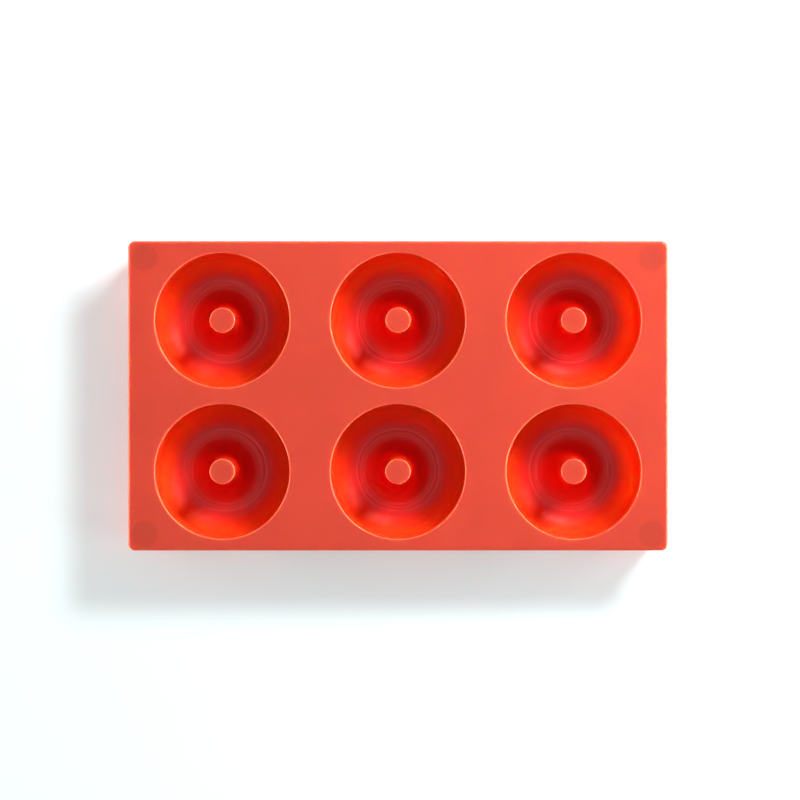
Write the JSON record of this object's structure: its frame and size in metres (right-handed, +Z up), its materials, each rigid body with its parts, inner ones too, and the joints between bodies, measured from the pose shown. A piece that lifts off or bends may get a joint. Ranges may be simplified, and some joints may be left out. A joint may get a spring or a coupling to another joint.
{
  "type": "doughnut pan",
  "caption": "Flexible silicone doughnut pan: a flat plate with a grid of ring-shaped cavities, each round a centre pin, on hollow corner posts.",
  "frame": {"origin": "on the surface the pan stands on, under the middle of its plate", "axes": "+X along the plate's length, +Y across it, +Z up out of the cavities"},
  "size_m": [0.3, 0.172, 0.0296],
  "materials": {
    "silicone": "coral red food-grade silicone, compression moulded, satin, slightly translucent"
  },
  "bodies": {
    "root": {"doughnut_mould": "silicone"}
  },
  "joints": []
}
